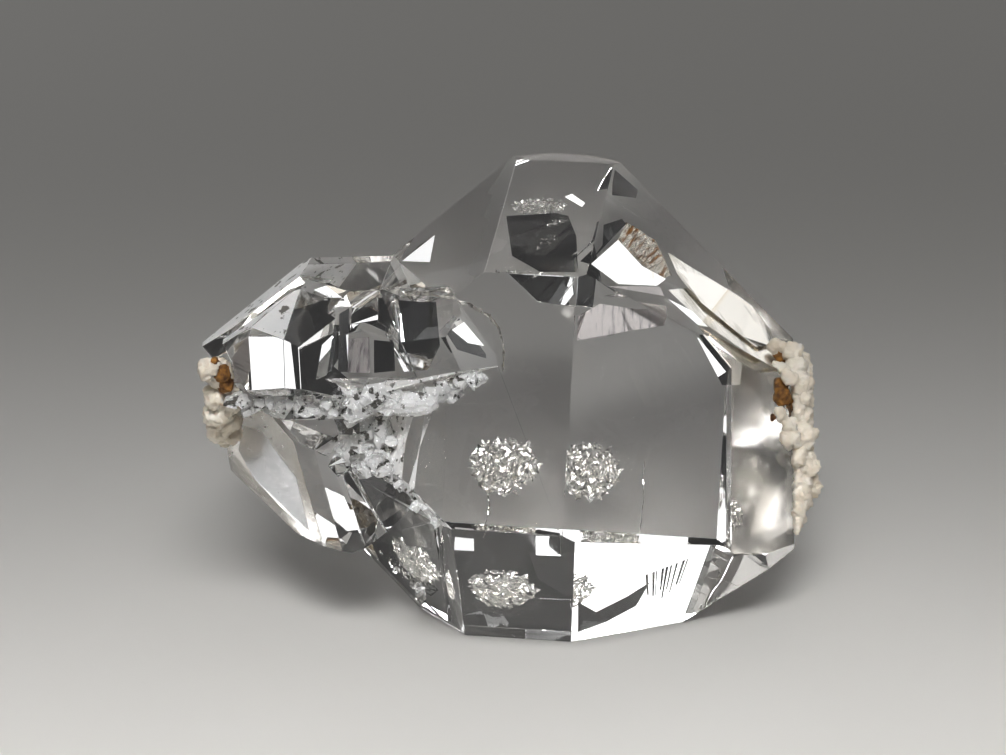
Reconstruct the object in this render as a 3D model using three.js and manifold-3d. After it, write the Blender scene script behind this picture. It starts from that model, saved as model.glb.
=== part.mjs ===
// Herkimer diamond quartz: a water-clear, doubly terminated crystal lying on one of its long faces,
// with two smaller crystals grown into its left end and a knobbly rind of matrix on both ends.
// Millimetres, +Z up. The viewer is in front, towards -Y, and the long axis runs along X.
import * as THREE from 'three';
import { ConvexGeometry } from 'three/addons/geometries/ConvexGeometry.js';
import { mergeVertices } from 'three/addons/utils/BufferGeometryUtils.js';
import Module from 'manifold-3d';

const wasm = await Module();
wasm.setup();

// Quartz angles, in degrees
const TERMINATION_TILT = 51.79; // between the long axis and the normal of a termination face
const MAIN_HEADING = -7.1; // the main crystal's right end is turned a little towards the viewer

// Driving distances of the main crystal: from its centre to each face
const MAIN_CENTRE = [1.0, 0.5, 7.9];
const RESTING_FACE = 7.9; // half the height, since the crystal lies on this face
const TOP_FACE = 7.9;
const FRONT_UPPER_FACE = 8.2;
const FRONT_LOWER_FACE = 8.95;
const BACK_UPPER_FACE = 10.1;
const BACK_LOWER_FACE = 6.75;
const BROKEN_END = 10.66; // where the right tip is lost against the matrix
const GROWTH_STEP = 0.45; // height of the last growth layer on the large front right face

// Matrix rind
const RIND_GAP = 0.08; // between the crystal and the rind
const RIND_BED = 0.6; // outer side of the rind's bed, measured from the broken end

// Look of the two materials
const QUARTZ_COLOUR = 0xf2f1ec;
const RIND_COLOUR = 0xd9cfbd;

const radians = THREE.MathUtils.degToRad;

// A unit vector from a compass heading about +Z (0 is +X, 90 is +Y) and a lift above the horizontal
function direction(heading, lift) {
  const level = Math.cos(radians(lift));
  return new THREE.Vector3(
    level * Math.cos(radians(heading)),
    level * Math.sin(radians(heading)),
    Math.sin(radians(lift)),
  );
}

const mainAxis = direction(MAIN_HEADING, 0);
const towardsViewer = direction(MAIN_HEADING - 90, 0);

// Sectors go around the long axis: 0 faces the viewer, 90 is the top
function aroundAxis(sector) {
  return towardsViewer.clone().multiplyScalar(Math.cos(radians(sector)))
    .addScaledVector(new THREE.Vector3(0, 0, 1), Math.sin(radians(sector)));
}

function prismFace(sector, distance) {
  return { normal: aroundAxis(sector), distance };
}

// side is 1 for the right end and -1 for the left end
function terminationFace(side, sector, distance) {
  const normal = mainAxis.clone().multiplyScalar(side * Math.cos(radians(TERMINATION_TILT)))
    .addScaledVector(aroundAxis(sector), Math.sin(radians(TERMINATION_TILT)));
  return { normal, distance };
}

function face(heading, lift, distance) {
  return { normal: direction(heading, lift), distance };
}

// Limits for what counts as parallel, as lying on a face, and as the same corner
const PARALLEL = 1e-6;
const WELD_DISTANCE = 1e-5;
const SAME_CORNER = 1e-4;

// Repeatable random numbers between 0 and 1, so that every build gives the same stone
function randomSource(seed) {
  let state = seed;
  return () => {
    state = (state * 1664525 + 1013904223) % 4294967296;
    return state / 4294967296;
  };
}

function solidFrom(geometry) {
  geometry.deleteAttribute('normal');
  if (geometry.getAttribute('uv')) geometry.deleteAttribute('uv');
  const merged = mergeVertices(geometry, WELD_DISTANCE);
  return new wasm.Manifold(new wasm.Mesh({
    numProp: 3,
    vertProperties: new Float32Array(merged.getAttribute('position').array),
    triVerts: new Uint32Array(merged.getIndex().array),
  }));
}

// The corner where three faces meet, or null when two of them are parallel
function corner(a, b, c) {
  const bc = new THREE.Vector3().crossVectors(b.normal, c.normal);
  const scale = a.normal.dot(bc);
  if (Math.abs(scale) < PARALLEL) return null;
  const ca = new THREE.Vector3().crossVectors(c.normal, a.normal);
  const ab = new THREE.Vector3().crossVectors(a.normal, b.normal);
  return bc.multiplyScalar(a.distance).addScaledVector(ca, b.distance)
    .addScaledVector(ab, c.distance).divideScalar(scale);
}

// A crystal is the space behind all of its faces
function crystal(centre, faces) {
  const corners = [];
  for (let i = 0; i < faces.length; i++) {
    for (let j = i + 1; j < faces.length; j++) {
      for (let k = j + 1; k < faces.length; k++) {
        const point = corner(faces[i], faces[j], faces[k]);
        if (!point) continue;
        if (faces.some((f) => f.normal.dot(point) > f.distance + WELD_DISTANCE)) continue;
        if (corners.some((known) => known.distanceTo(point) < SAME_CORNER)) continue;
        corners.push(point);
      }
    }
  }
  const geometry = new ConvexGeometry(corners);
  geometry.translate(...centre);
  return solidFrom(geometry);
}

// The same faces, each moved outwards
function grown(faces, amount) {
  return faces.map((f) => ({ normal: f.normal, distance: f.distance + amount }));
}

const joined = (solids) => solids.reduce((whole, solid) => whole.add(solid));

// Only the largest piece is kept, so that no loose chip and no sealed hollow is left
function largestPiece(solid) {
  return solid.decompose().reduce((best, piece) => (piece.volume() > best.volume() ? piece : best));
}

// Main crystal
const mainFaces = {
  resting: prismFace(-90, RESTING_FACE),
  frontLower: prismFace(-30, FRONT_LOWER_FACE),
  frontUpper: prismFace(30, FRONT_UPPER_FACE),
  top: prismFace(90, TOP_FACE),
  backUpper: prismFace(150, BACK_UPPER_FACE),
  backLower: prismFace(-150, BACK_LOWER_FACE),
  topBevel: face(83, 74, 9.1),
  rightFront: terminationFace(1, 30, 8.0),
  rightTop: terminationFace(1, 90, 7.95),
  rightBack: terminationFace(1, 150, 9.0),
  rightFrontLower: face(-71, -29, 9.3),
  rightFrontFoot: terminationFace(1, -30, 10.8),
  rightFoot: terminationFace(1, -90, 10.35),
  rightBackLower: terminationFace(1, -150, 8.4),
  rightBroken: face(-3, 2, BROKEN_END),
  leftFront: terminationFace(-1, 30, 8.8),
  leftTop: terminationFace(-1, 90, 6.9),
  leftBack: terminationFace(-1, 150, 8.0),
  leftFrontLower: terminationFace(-1, -30, 8.15),
  leftFoot: terminationFace(-1, -90, 8.6),
  leftBackLower: terminationFace(-1, -150, 7.4),
};

// The large front right face sits one growth step lower outside its last layer
function mainBody() {
  const lower = { ...mainFaces };
  lower.rightFront = terminationFace(1, 30, mainFaces.rightFront.distance - GROWTH_STEP);
  return crystal(MAIN_CENTRE, Object.values(lower));
}

// The last layer ends in a bevel along its right side and another along its upper right side
function frontRightLayer() {
  const layer = { ...mainFaces };
  layer.rightBevel = face(-16, 8, 8.82);
  layer.upperBevel = face(-11, 36, 8.48);
  return crystal(MAIN_CENTRE, Object.values(layer));
}

// Low plates of late growth: one face stands proud and its neighbours are drawn in
function growthPlate(name, rise, inset, extra = []) {
  const faces = Object.entries(mainFaces).map(([key, f]) => {
    if (key === name) return { normal: f.normal, distance: f.distance + rise };
    return { normal: f.normal, distance: f.distance - inset };
  });
  return crystal(MAIN_CENTRE, faces.concat(extra));
}

const plates = [
  ['backUpper', 0.25, 0.9, [face(170, 20, 3.5)]],
  ['backUpper', 0.18, 0.7, [face(5, 0, 3.4), face(-175, 10, 1.4)]],
  ['rightBack', 0.3, 1.0, []],
  ['leftBack', 0.28, 0.9, []],
  ['leftFrontLower', 0.1, 0.45, []],
];

// Upper left crystal: small and doubly terminated, its top level with the main crystal's top
const UPPER_CENTRE = [-6.0, -5.0, 13.4];
const upperFaces = [
  face(-87, 30, 2.2), // front
  face(0, 90, 2.5), // top
  face(166, 52, 3.1), // long slope to the left tip
  face(-123, 49, 2.45), // bevel between slope and front
  face(-122, 19, 3.0), // left front
  face(-9, 29, 2.45), // right slope
  face(-87, -30, 2.6), // front lower
  face(-119, -30, 3.6), // left front lower
  face(0, -90, 3.3), // underside, lost in the seam
  face(93, 30, 2.9), // back upper
  face(93, -80, 2.6), // back underside, nearly level, which throws light up and out
  face(133, 27, 3.45), // left back
  face(-166, -42, 4.3), // broken off below the left tip
];

// Its right tip, a second growth step that ends in a point on the main crystal's front
const TIP_CENTRE = [-1.8, -5.6, 13.2];
const tipFaces = [
  face(-87, 26, 1.5), // front, in line with the crystal's own front
  face(-98, 69, 1.45), // flat top slope
  face(-42, 34, 1.0), // right front, which narrows to the tip
  face(7, 37, 1.1), // right slope
  face(-65, -52, 1.12), // underside towards the viewer
  face(0, -90, 1.25), // underside, lost in the seam
  face(180, 0, 2.7), // left, inside the upper left crystal
  face(90, 0, 1.3), // back, inside the main crystal
];

// A low block of parallel growth on its front, with an upright edge in the middle
const BLOCK_CENTRE = [-5.08, -7.32, 13.7];
const blockFaces = [
  face(-99, 29, 0.16), // front, left of the upright edge
  face(-75, 29, 0.16), // front, right of the upright edge
  face(180, 0, 1.24), // left side
  face(0, 0, 1.76), // right side
  face(-120, 66, 0.75), // top, left
  face(-50, 66, 0.62), // top, right
  face(-87, -60, 0.75), // underside
  face(93, -30, 1.0), // back, inside the upper left crystal
];

// A stub of parallel growth that stands out of its left front
const STUB_CENTRE = [-8.4, -7.4, 13.2];
const stubFaces = [
  face(-123, 17, 0.9), // broad left front
  face(-87, 21, 1.1), // narrow upright front
  face(-49, 18, 1.25), // right front
  face(-62, 50, 1.55), // slope above the right front
  face(-119, 59, 1.6), // slope above the left front
  face(-95, -51, 0.9), // underside
  face(90, 0, 1.35), // back, inside the upper left crystal
  face(-174, -30, 1.6), // under the left edge
  face(166, 52, 2.1), // in line with the long slope behind it
];

// Lower left crystal: its own long axis leans down to the right, so its prism faces stand upright
const LOWER_CENTRE = [-7.6, -3.6, 7.2];
const lowerFaces = [
  face(-32, 16, 2.1), // right front
  face(-77, 9, 2.1), // front
  face(-106, 2, 1.8), // narrow front
  face(-135, -6, 1.4), // broad pale left face
  face(160, -6, 3.7), // left edge
  face(-178, -60, 2.7), // under, left
  face(-129, -71, 3.0), // under, middle
  face(-31, -73, 3.55), // under, right
  face(-108, 72, 2.7), // top left
  face(-81, 51, 2.3), // top right
  face(72, 0, 2.55), // back, inside the main crystal
];

// Upright ribs of parallel growth on the front of the lower left crystal
const RIB_COUNT = 4;
const RIB_SPACING = 0.34;
const RIB_HALF_WIDTH = 0.11;
const FIRST_RIB = -0.55; // the first rib's middle, from the crystal's centre
const RIB_FRONT = 2.22; // the crystal's own front lies at 2.1
const RIB_STEP = 0.05; // every other rib stands out by this much more
const RIB_ENDS_INSET = 0.22; // how far the ribs stop short of the crystal's other faces
const ribsAcross = direction(10, 7);

function lowerRibs() {
  const ribs = [];
  for (let i = 0; i < RIB_COUNT; i++) {
    const middle = FIRST_RIB + i * RIB_SPACING;
    const front = face(-77, 9, RIB_FRONT + RIB_STEP * (i % 2));
    const [rightFront, , ...others] = grown(lowerFaces, -RIB_ENDS_INSET);
    const sides = [
      { normal: ribsAcross, distance: RIB_HALF_WIDTH + middle },
      { normal: ribsAcross.clone().negate(), distance: RIB_HALF_WIDTH - middle },
    ];
    ribs.push(crystal(LOWER_CENTRE, [rightFront, front, ...others, ...sides]));
  }
  return ribs;
}

// Points on a ball follow a spiral, a golden angle apart
const GOLDEN_ANGLE = 2.4;

// An angular chip: the hull of points spread over an uneven ball
const CHIP_POINTS = 10;
const CHIP_WOBBLE = 0.9; // how far a point may leave the spiral, in radians
const between = (least, most, random) => least + (most - least) * random();

function chip(place, size, random) {
  const squash = [0, 1, 2].map(() => between(0.6, 1.4, random));
  const points = [];
  for (let i = 0; i < CHIP_POINTS; i++) {
    const z = 1 - 2 * (i + 0.5) / CHIP_POINTS;
    const angle = GOLDEN_ANGLE * i + CHIP_WOBBLE * random();
    const level = Math.sqrt(1 - z * z);
    const reach = size * between(0.75, 1.1, random);
    points.push(new THREE.Vector3(
      place.x + reach * squash[0] * level * Math.cos(angle),
      place.y + reach * squash[1] * level * Math.sin(angle),
      place.z + reach * squash[2] * z,
    ));
  }
  return solidFrom(new ConvexGeometry(points));
}

// Chips scattered over a leaning rectangle; depth is how far a chip's centre lies behind it
function roughPatch({ centre, along, across, outward, depth, size, count, seed }) {
  const random = randomSource(seed);
  const chips = [];
  for (let i = 0; i < count; i++) {
    const place = new THREE.Vector3(...centre)
      .addScaledVector(new THREE.Vector3(...along), 2 * (i + random()) / count - 1)
      .addScaledVector(new THREE.Vector3(...across), 2 * random() - 1)
      .addScaledVector(outward, -depth * random());
    chips.push(chip(place, size * between(0.6, 1.4, random), random));
  }
  return chips;
}

// The rough seam where the three crystals meet: a narrow band under the upper crystal, a field of
// larger breaks beside it, and a crumbly strip down the left edge of the main crystal's front
const seamLeft = {
  centre: [-9.0, -7.3, 11.5], along: [1.6, -0.5, 0.2], across: [0, 0.2, -0.4],
  outward: direction(-100, -25),
};
const seamMiddle = {
  centre: [-5.6, -7.7, 11.75], along: [1.5, 0.1, 0.1], across: [0, 0.25, -0.5],
  outward: direction(-87, -30),
};
const seamRight = {
  centre: [-1.9, -7.2, 12.1], along: [1.1, 0.2, 0.25], across: [0, 0.2, -0.35],
  outward: direction(-87, -20),
};
const seamField = {
  centre: [-5.2, -6.9, 9.6], along: [0.9, -0.6, 0.1], across: [0.3, 0.3, 1.0],
  outward: direction(-110, 15),
};
const edgeStrip = {
  centre: [-3.3, -8.3, 7.8], along: [1.0, -0.55, -1.0], across: [0.12, 0.1, 0.15],
  outward: direction(-115, 5),
};
// The rough foot at the lower left of the main crystal
const foot = {
  centre: [-4.3, -3.7, 2.0], along: [0.9, -1.0, -0.9], across: [0.3, 0.1, 0.35],
  outward: direction(-150, -35),
};

function seamChips() {
  return [
    ...roughPatch({ ...seamLeft, depth: 0.25, size: 0.42, count: 14, seed: 11 }),
    ...roughPatch({ ...seamMiddle, depth: 0.3, size: 0.42, count: 20, seed: 19 }),
    ...roughPatch({ ...seamRight, depth: 0.25, size: 0.34, count: 12, seed: 29 }),
    ...roughPatch({ ...seamField, depth: 0.35, size: 0.55, count: 16, seed: 23 }),
    ...roughPatch({ ...edgeStrip, depth: 0.15, size: 0.22, count: 12, seed: 43 }),
    ...roughPatch({ ...foot, depth: 0.25, size: 0.3, count: 12, seed: 37 }),
  ];
}

function seamPits() {
  return [
    ...roughPatch({ ...seamLeft, depth: -0.3, size: 0.24, count: 10, seed: 47 }),
    ...roughPatch({ ...seamMiddle, depth: -0.4, size: 0.26, count: 22, seed: 51 }),
    ...roughPatch({ ...seamRight, depth: -0.3, size: 0.24, count: 12, seed: 59 }),
    ...roughPatch({ ...seamField, depth: -0.3, size: 0.3, count: 14, seed: 67 }),
  ];
}

// Smooth, shell-shaped breaks between the rough patches: place and reach along each axis
const shellBreaks = [
  [[-3.6, -7.45, 11.75], [1.15, 0.5, 0.5]],
  [[-6.9, -7.0, 10.1], [0.7, 0.5, 0.6]],
];

function shellBreak(place, reach) {
  const geometry = new THREE.IcosahedronGeometry(1, 2);
  geometry.scale(...reach);
  geometry.translate(...place);
  return solidFrom(geometry);
}

function quartzSolid() {
  const bodies = [
    mainBody(),
    frontRightLayer(),
    ...plates.map((plate) => growthPlate(...plate)),
    crystal(UPPER_CENTRE, upperFaces),
    crystal(TIP_CENTRE, tipFaces),
    crystal(BLOCK_CENTRE, blockFaces),
    crystal(STUB_CENTRE, stubFaces),
    crystal(LOWER_CENTRE, lowerFaces),
    ...lowerRibs(),
    ...shellBreaks.map((lump) => shellBreak(...lump)),
    ...seamChips(),
  ];
  return largestPiece(joined(bodies).subtract(joined(seamPits())));
}

// Everything that a rind must keep clear of
function keepClear() {
  return joined([
    crystal(MAIN_CENTRE, grown(Object.values(mainFaces), RIND_GAP)),
    crystal(UPPER_CENTRE, grown(upperFaces, RIND_GAP)),
    crystal(STUB_CENTRE, grown(stubFaces, RIND_GAP)),
    crystal(LOWER_CENTRE, grown(lowerFaces, RIND_GAP)),
  ]);
}

// A rounded, lumpy knob of matrix
function knob(place, size, random) {
  const geometry = new THREE.IcosahedronGeometry(size, 1);
  geometry.deleteAttribute('normal');
  geometry.deleteAttribute('uv');
  const merged = mergeVertices(geometry, WELD_DISTANCE);
  const position = merged.getAttribute('position');
  const point = new THREE.Vector3();
  for (let i = 0; i < position.count; i++) {
    point.fromBufferAttribute(position, i).multiplyScalar(between(0.82, 1.18, random)).add(place);
    position.setXYZ(i, point.x, point.y, point.z);
  }
  return solidFrom(merged);
}

// Right rind: a thin bed over the broken end. The large knobs that stand out of it towards the viewer
// are placed one by one, from the top down; small ones cover the rest
const rightLargeKnobs = [
  [[10.9, -0.35, 10.5], 0.3],
  [[11.45, -0.5, 10.35], 0.36],
  [[11.65, -0.9, 9.95], 0.36],
  [[11.25, -1.7, 9.85], 0.32],
  [[10.85, -1.5, 10.1], 0.26],
  [[11.75, -1.4, 9.45], 0.44],
  [[11.9, -1.6, 9.0], 0.32],
  [[10.6, -2.55, 8.4], 0.26],
  [[10.87, -2.6, 8.65], 0.36],
  [[11.2, -2.6, 8.25], 0.36],
  [[11.3, -2.85, 7.7], 0.44],
  [[11.65, -1.9, 7.85], 0.45],
  [[11.95, -2.3, 7.6], 0.46],
  [[11.55, -2.9, 6.95], 0.38],
  [[11.95, -2.6, 6.5], 0.52],
  [[12.2, -2.4, 5.35], 0.45],
  [[11.95, -2.5, 4.9], 0.4],
  [[11.75, -2.6, 4.65], 0.4],
  [[11.75, -2.5, 3.95], 0.3],
];
const BED_INSET = 0.15; // the bed stays a little inside the crystal's outline
const BED_UPPER_CUT = face(-3, 27, 10.5);
const BED_LOWER_CUT = face(-3, -20, 11.5);
const SMALL_KNOBS = 13;
const SMALL_KNOB_SIZE = 0.5;
const SMALL_KNOB_SCATTER = 0.2;
const RIND_LEAN = -0.1; // the rind's lower part stands out a little further
const rightRindCentre = new THREE.Vector3(11.6, 0.1, 6.9);
const RIND_HALF_HEIGHT = 2.9;
const RIND_HALF_DEPTH = 1.9;

function rightRindBed() {
  const outer = { ...mainFaces, rightBroken: face(-3, 2, BROKEN_END + RIND_BED + BED_INSET) };
  return crystal(MAIN_CENTRE, [...grown(Object.values(outer), -BED_INSET), BED_UPPER_CUT, BED_LOWER_CUT]);
}

function smallKnobs(random) {
  const knobs = [];
  for (let i = 0; i < SMALL_KNOBS; i++) {
    const turn = GOLDEN_ANGLE * i;
    const reach = Math.sqrt((i + 0.5) / SMALL_KNOBS);
    const rise = RIND_HALF_HEIGHT * reach * Math.sin(turn);
    const place = rightRindCentre.clone().add(new THREE.Vector3(
      RIND_LEAN * rise + between(-SMALL_KNOB_SCATTER, SMALL_KNOB_SCATTER, random) / 2,
      RIND_HALF_DEPTH * reach * Math.cos(turn),
      rise,
    ));
    knobs.push(knob(place, SMALL_KNOB_SIZE * between(0.7, 1.2, random), random));
  }
  return knobs;
}

function rightRind(clear) {
  const random = randomSource(83);
  const large = rightLargeKnobs.map(([place, size]) => knob(new THREE.Vector3(...place), size, random));
  return largestPiece(joined([rightRindBed(), ...large, ...smallKnobs(random)]).subtract(clear));
}

// Left rind: a round knob beside the notch below the upper crystal's broken tip, then a thicker lump
// that reaches down to the lower crystal
const leftKnobs = [
  [[-11.3, -7.0, 13.05], 0.36],
  [[-10.95, -6.5, 12.65], 0.45],
  [[-10.75, -6.2, 12.1], 0.48],
  [[-11.1, -6.4, 11.5], 0.42],
  [[-10.75, -6.0, 11.1], 0.5],
  [[-11.05, -6.1, 10.6], 0.5],
  [[-10.8, -5.7, 10.1], 0.52],
  [[-11.1, -5.5, 9.6], 0.42],
  [[-10.75, -5.1, 9.3], 0.45],
  [[-10.8, -4.6, 8.9], 0.4],
  [[-10.9, -4.3, 9.7], 0.5],
  [[-10.8, -3.7, 9.1], 0.45],
];

function leftRind(clear) {
  const random = randomSource(101);
  const lumps = leftKnobs.map(([place, size]) => knob(new THREE.Vector3(...place), size, random));
  return largestPiece(joined(lumps).subtract(clear));
}

function meshFrom(name, solid, colour, roughness, offset) {
  const { vertProperties, triVerts } = solid.getMesh();
  const geometry = new THREE.BufferGeometry();
  geometry.setAttribute('position', new THREE.BufferAttribute(new Float32Array(vertProperties), 3));
  geometry.setIndex(new THREE.BufferAttribute(new Uint32Array(triVerts), 1));
  geometry.translate(offset.x, offset.y, offset.z);
  geometry.computeVertexNormals();
  const material = new THREE.MeshStandardMaterial({ color: colour, roughness, metalness: 0 });
  const mesh = new THREE.Mesh(geometry, material);
  mesh.name = name;
  return mesh;
}

const clear = keepClear();
const solids = {
  quartz: quartzSolid(),
  right: rightRind(clear),
  left: leftRind(clear),
};

// The origin is the middle of the footprint, on the surface that the stone lies on
const low = new THREE.Vector3(Infinity, Infinity, Infinity);
const high = low.clone().negate();
for (const solid of Object.values(solids)) {
  const box = solid.boundingBox();
  low.min(new THREE.Vector3(...box.min));
  high.max(new THREE.Vector3(...box.max));
}
const offset = new THREE.Vector3(-(low.x + high.x) / 2, -(low.y + high.y) / 2, -low.z);

const stone = new THREE.Group();
stone.add(
  meshFrom('quartz_crystal', solids.quartz, QUARTZ_COLOUR, 0.03, offset),
  meshFrom('matrix_rind_right', solids.right, RIND_COLOUR, 0.85, offset),
  meshFrom('matrix_rind_left', solids.left, RIND_COLOUR, 0.85, offset),
);

export default stone;
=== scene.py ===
import math
import random

import bpy
from bpy.props import FloatProperty, FloatVectorProperty, PointerProperty
from mathutils import Euler, Matrix, Vector


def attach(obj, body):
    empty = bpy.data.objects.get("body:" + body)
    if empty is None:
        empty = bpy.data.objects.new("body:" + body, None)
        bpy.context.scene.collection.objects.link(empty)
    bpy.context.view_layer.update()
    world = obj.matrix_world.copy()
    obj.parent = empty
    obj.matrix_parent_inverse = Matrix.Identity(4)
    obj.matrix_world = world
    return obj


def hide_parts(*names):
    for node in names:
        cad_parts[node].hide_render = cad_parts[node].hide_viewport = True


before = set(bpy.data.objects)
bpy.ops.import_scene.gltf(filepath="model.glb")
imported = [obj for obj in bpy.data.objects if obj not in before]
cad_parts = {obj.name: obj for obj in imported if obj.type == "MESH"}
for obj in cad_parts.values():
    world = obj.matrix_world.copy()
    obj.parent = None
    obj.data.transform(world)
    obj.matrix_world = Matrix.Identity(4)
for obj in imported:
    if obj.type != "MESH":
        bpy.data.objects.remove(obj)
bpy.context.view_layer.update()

bl_info = {
    "name": "Herkimer diamond quartz",
    "version": (1, 0, 0),
    "blender": (4, 5, 0),
    "location": "3D View > Sidebar > Quartz",
    "description": "Dresses a clear quartz crystal with its flecks, its matrix rinds and their clay",
    "category": "Add Mesh",
}

# Pieces are shaped in millimetres and brought to metres when they are finished
MM = 0.001

# The point on the floor that the listed details are measured from, in millimetres. The camera looks at a
# point straight above it
ORIGIN = Vector((-0.465, -0.265, 0.0))
EYE_HEIGHT = 9.0


def at(x, y, z):
    """A point of the stone in millimetres, measured from the origin of its details."""
    return ORIGIN + Vector((x, y, z))


# The crystal's piece and the solid it is made from, then each rind's piece and its solid
CRYSTAL = "quartz_body"
QUARTZ_NODE = "quartz_crystal"
RINDS = {"rind_right": "matrix_rind_right", "rind_left": "matrix_rind_left"}
# Corners of a solid nearer to one another than this, in millimetres, are one corner
SAME_CORNER = 0.0002
# How strongly quartz bends light
QUARTZ_IOR = 1.544


def hex_colour(text):
    """An sRGB hex colour as linear red, green, blue and alpha."""
    parts = [int(text[i:i + 2], 16) / 255 for i in (1, 3, 5)]
    return (*(c / 12.92 if c <= 0.04045 else ((c + 0.055) / 1.055) ** 2.4 for c in parts), 1.0)


def settings(name):
    """The sizes and colours set for one piece, by their name on the scene."""
    return getattr(bpy.context.scene, name)


# Selecting and shaping


def pick(*pieces):
    """Selects these objects alone and makes the first one active."""
    if bpy.context.object and bpy.context.object.mode != "OBJECT":
        bpy.ops.object.mode_set(mode="OBJECT")
    bpy.ops.object.select_all(action="DESELECT")
    for piece in pieces:
        piece.select_set(True)
    bpy.context.view_layer.objects.active = pieces[0]


def shape(piece, action, **how):
    """Runs one edit mode tool on the whole of a piece."""
    pick(piece)
    bpy.ops.object.mode_set(mode="EDIT")
    bpy.ops.mesh.select_all(action="SELECT")
    action(**how)
    bpy.ops.object.mode_set(mode="OBJECT")


def choose(piece, kind, test):
    """Selects the vertices, edges or faces (kind) for which the test is true, and stays in edit mode."""
    pick(piece)
    bpy.ops.object.mode_set(mode="EDIT")
    bpy.ops.mesh.select_mode(type=kind)
    bpy.ops.mesh.select_all(action="DESELECT")
    bpy.ops.object.mode_set(mode="OBJECT")
    parts = {"VERT": piece.data.vertices, "EDGE": piece.data.edges, "FACE": piece.data.polygons}
    chosen = 0
    for part in parts[kind]:
        part.select = bool(test(part))
        chosen += part.select
    bpy.ops.object.mode_set(mode="EDIT")
    return chosen


def modify(piece, kind, **how):
    """Adds one modifier and applies it."""
    pick(piece)
    modifier = piece.modifiers.new(kind.lower(), kind)
    for key, value in how.items():
        setattr(modifier, key, value)
    bpy.ops.object.modifier_apply(modifier=modifier.name)


def copy_of_node(node, name):
    """A new object in millimetres with its own copy of a frame node's mesh, merged into one skin."""
    piece = bpy.data.objects.new(name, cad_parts[node].data.copy())
    piece.data.name = name
    bpy.context.collection.objects.link(piece)
    piece.data.materials.clear()
    piece.data.transform(Matrix.Scale(1 / MM, 4))
    shape(piece, bpy.ops.mesh.remove_doubles, threshold=SAME_CORNER)
    return piece


def jolt(chance, reach):
    """A short random step, of up to reach along each axis."""
    return Vector([chance.uniform(-1, 1) for _ in range(3)]) * reach


def joined(name, pieces):
    """Joins pieces into one with this name."""
    pick(*pieces)
    bpy.ops.object.join()
    piece = bpy.context.object
    piece.name = piece.data.name = name
    return piece


def finish_piece(piece, materials, slot, *nodes):
    """Brings a piece to metres, gives it its materials, and ties it to the frame."""
    piece.data.transform(piece.matrix_world)
    piece.matrix_world = Matrix.Identity(4)
    piece.data.transform(Matrix.Scale(MM, 4))
    piece.data.update()
    piece.data.materials.clear()
    for material in materials:
        piece.data.materials.append(material)
    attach(piece, "root")
    if nodes:
        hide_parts(*nodes)
    return piece


# Materials


def add_node(tree, kind, settings_of=None, values=None, links=None):
    """Adds a node, sets its settings and socket values, and links outputs of other nodes into it."""
    node = tree.nodes.new(kind)
    for key, value in (settings_of or {}).items():
        setattr(node, key, value)
    for key, value in (values or {}).items():
        node.inputs[key].default_value = value
    for key, source in (links or {}).items():
        tree.links.new(source, node.inputs[key])
    return node


def new_material(name):
    """An empty node material with its output node."""
    material = bpy.data.materials.new(name)
    material.use_nodes = True
    material.node_tree.nodes.clear()
    output = material.node_tree.nodes.new("ShaderNodeOutputMaterial")
    return material, material.node_tree, output


def noise_pattern(tree, size, detail):
    """A solid noise whose largest features are about this many millimetres across."""
    where = add_node(tree, "ShaderNodeTexCoord")
    noise = add_node(tree, "ShaderNodeTexNoise", values={"Scale": 1 / (size * MM), "Detail": detail},
                     links={"Vector": where.outputs["Object"]})
    return noise.outputs["Fac"]


def relief(tree, height, depth, strength=1.0):
    """The surface normals of a pattern that is raised by this many metres."""
    bump = add_node(tree, "ShaderNodeBump", values={"Strength": strength, "Distance": depth},
                    links={"Height": height})
    return bump.outputs["Normal"]


def ranged(tree, value, ends):
    """A pattern's value moved from one range into another."""
    return add_node(tree, "ShaderNodeMapRange", values=ends, links={"Value": value}).outputs["Result"]


def blended(tree, factor, first, second):
    """A colour that goes from the first to the second where a pattern rises."""
    blend = add_node(tree, "ShaderNodeMix", {"data_type": "RGBA"}, links={"Factor": factor})
    blend.inputs["A"].default_value = first
    blend.inputs["B"].default_value = second
    return blend.outputs["Result"]


def quartz_inside(tree, output):
    """Gives quartz its faint tint, which builds up with depth by plain absorption."""
    look = settings("quartz_crystal")
    depth = add_node(tree, "ShaderNodeVolumeAbsorption",
                     values={"Color": (*look.tint, 1.0), "Density": look.tint_density})
    tree.links.new(depth.outputs["Volume"], output.inputs["Volume"])


def clear_quartz():
    """Natural rock crystal with mirror-smooth grown faces."""
    material, tree, output = new_material("clear_quartz_grown_faces")
    # Growth swells a hair deep make the mirrored lights wander a little on the glassy faces
    swells = relief(tree, noise_pattern(tree, 3.2, 1.0), settings("quartz_crystal").swell_depth)
    glass = add_node(tree, "ShaderNodeBsdfPrincipled",
                     values={"Base Color": hex_colour("#ffffff"), "Roughness": 0.0,
                             "IOR": QUARTZ_IOR, "Transmission Weight": 1.0},
                     links={"Normal": swells})
    tree.links.new(glass.outputs["BSDF"], output.inputs["Surface"])
    quartz_inside(tree, output)
    return material


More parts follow.
